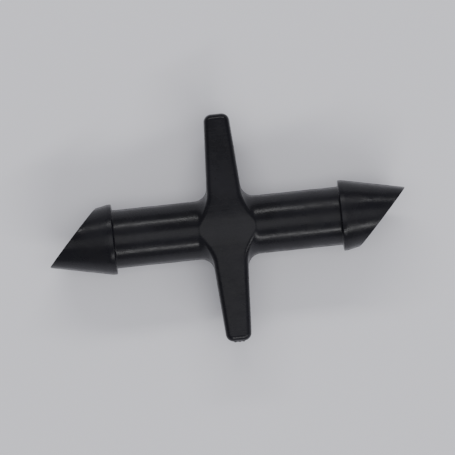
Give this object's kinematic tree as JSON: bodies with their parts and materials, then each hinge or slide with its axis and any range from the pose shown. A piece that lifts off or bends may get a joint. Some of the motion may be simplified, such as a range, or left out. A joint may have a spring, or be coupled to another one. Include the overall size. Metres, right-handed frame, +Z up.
{
  "type": "barbed micro tube joiner",
  "caption": "Straight barbed joiner for micro irrigation tube, with a cross-bar finger grip and obliquely cut tips, moulded in black plastic.",
  "frame": {"origin": "where the axis of the water passage crosses the axis of the cross bar, at the centre of the joiner", "axes": "+X along the water passage towards the right barb, +Y along the cross bar towards the rear arm, +Z up, square to both"},
  "size_m": [0.027, 0.017, 0.0052],
  "materials": {
    "black_plastic": "satin moulded, fine mould texture"
  },
  "bodies": {
    "root": {"centre_hub": "black_plastic", "rear_grip_arm": "black_plastic", "front_grip_arm": "black_plastic", "right_barrel": "black_plastic", "left_barrel": "black_plastic", "right_barb": "black_plastic", "left_barb": "black_plastic"}
  },
  "joints": []
}
